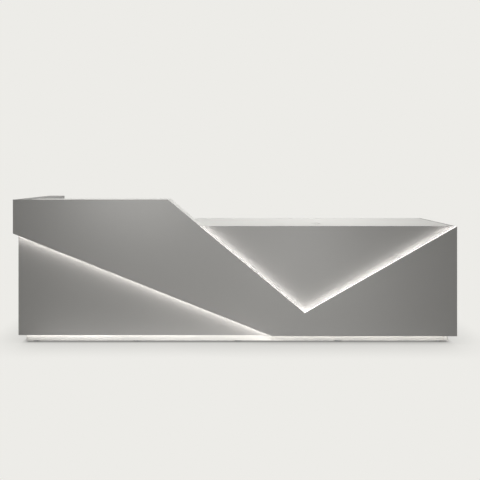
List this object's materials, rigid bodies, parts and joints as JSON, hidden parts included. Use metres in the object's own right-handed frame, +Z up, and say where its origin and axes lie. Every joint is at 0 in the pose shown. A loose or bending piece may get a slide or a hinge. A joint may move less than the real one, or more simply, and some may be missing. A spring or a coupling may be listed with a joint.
{
  "type": "reception desk",
  "caption": "Reception desk with a tall visitor counter sloping down to a low worktop, a folded grey front with lit joints, drawers, a cupboard and open knee bays.",
  "frame": {"origin": "on the floor, under the middle of the desk's box", "axes": "+X to the visitor's right along the desk, +Y from the visitor's side to the staff's side, +Z up"},
  "size_m": [3.3, 0.8, 1.08],
  "materials": {
    "grey_laminate": "matt warm grey laminate on board",
    "white_top": "satin white laminate on board",
    "plywood": "raw birch plywood",
    "cabinet_board": "pale grey melamine board with thin edging",
    "plinth_white": "white laminate on board",
    "channel_aluminium": "satin anodised extrusion",
    "tape_white": "white light tape",
    "opal_cover": "opal cover, lit from behind",
    "lead_sheath": "white two-core sheath",
    "powder_coat": "light grey powder coat",
    "bright_steel": "zinc-plated steel",
    "handle_steel": "satin stainless steel",
    "lock_chrome": "nickel-plated lock",
    "dark_plastic": "moulded dark grey plastic",
    "white_plastic": "moulded white plastic, near the worktop's tone",
    "rocker_plastic": "glossy black rocker"
  },
  "bodies": {
    "desk": {"front_cladding": "grey_laminate", "side_cladding": "grey_laminate", "core_front_panel": "grey_laminate", "left_gable": "grey_laminate", "return_lining": "grey_laminate", "return_end_panel": "grey_laminate", "right_end_panel": "grey_laminate", "modesty_panel": "grey_laminate", "parapet_lining": "grey_laminate", "return_cap": "grey_laminate", "counter_cap": "white_top", "slope_cap": "white_top", "worktop": "white_top", "cladding_battens": "plywood", "wall_ribs": "plywood", "bottom_boards": "cabinet_board", "pedestal_sides": "cabinet_board", "cupboard_side": "cabinet_board", "cupboard_shelf": "cabinet_board", "plinth_front_board": "plinth_white", "plinth_end_boards": "plinth_white", "plinth_inner_boards": "plinth_white", "plinth_rear_boards": "plinth_white", "led_channels": "channel_aluminium", "led_drivers": "channel_aluminium", "led_tapes": "tape_white", "valley_diffusers": "opal_cover", "lower_diffusers": "opal_cover", "plinth_diffuser": "opal_cover", "led_leads": "lead_sheath", "worktop_brackets": "powder_coat", "lock_strike": "powder_coat", "cable_tray": "powder_coat", "drawer_rails": "bright_steel", "hinge_frame_leaves": "bright_steel", "hinge_pins": "bright_steel", "shelf_pins": "bright_steel", "levelling_feet": "bright_steel", "levelling_blocks": "dark_plastic", "power_box": "dark_plastic", "grommet_liners": "white_plastic"},
    "drawer_lock": {"drawer_lock": "lock_chrome"},
    "cupboard_door": {"cupboard_door": "cabinet_board", "door_handle": "handle_steel", "hinge_door_leaves": "bright_steel"},
    "grommet_cover_left": {"grommet_cover_left": "white_plastic"},
    "grommet_cover_right": {"grommet_cover_right": "white_plastic"},
    "power_rocker": {"power_rocker": "rocker_plastic"},
    "drawer_top": {"drawer_front_top": "cabinet_board", "drawer_tray_top": "powder_coat", "drawer_runners_top": "bright_steel", "drawer_handle_top": "handle_steel"},
    "drawer_middle": {"drawer_front_middle": "cabinet_board", "drawer_tray_middle": "powder_coat", "drawer_runners_middle": "bright_steel", "drawer_handle_middle": "handle_steel"},
    "drawer_bottom": {"drawer_front_bottom": "cabinet_board", "drawer_tray_bottom": "powder_coat", "drawer_runners_bottom": "bright_steel", "drawer_handle_bottom": "handle_steel"}
  },
  "joints": [
    {"name": "drawer_top_slide", "type": "slide", "parent": "desk", "child": "drawer_top", "axis": [0, 1, 0], "range_m": [0, 0.375]},
    {"name": "drawer_middle_slide", "type": "slide", "parent": "desk", "child": "drawer_middle", "axis": [0, 1, 0], "range_m": [0, 0.375]},
    {"name": "drawer_bottom_slide", "type": "slide", "parent": "desk", "child": "drawer_bottom", "axis": [0, 1, 0], "range_m": [0, 0.375]},
    {"name": "drawer_lock_turn", "type": "hinge", "parent": "drawer_top", "child": "drawer_lock", "pos_m": [0.06, 0.35, 0.833], "axis": [0, 1, 0], "range_deg": [0, 90]},
    {"name": "cupboard_door_hinge", "type": "hinge", "parent": "desk", "child": "cupboard_door", "pos_m": [1.6275, 0.3635, 0.459], "axis": [0, 0, -1], "range_deg": [0, 95]},
    {"name": "grommet_cover_left_turn", "type": "hinge", "parent": "desk", "child": "grommet_cover_left", "pos_m": [-0.9235, -0.14, 0.88], "axis": [0, 0, 1], "range_deg": [0, 180]},
    {"name": "grommet_cover_right_turn", "type": "hinge", "parent": "desk", "child": "grommet_cover_right", "pos_m": [0.641, -0.14, 0.88], "axis": [0, 0, 1], "range_deg": [0, 180]},
    {"name": "power_rocker_tip", "type": "hinge", "parent": "desk", "child": "power_rocker", "pos_m": [-0.473, 0.3065, 0.8325], "axis": [0, 0, 1], "range_deg": [-16, 0]}
  ]
}
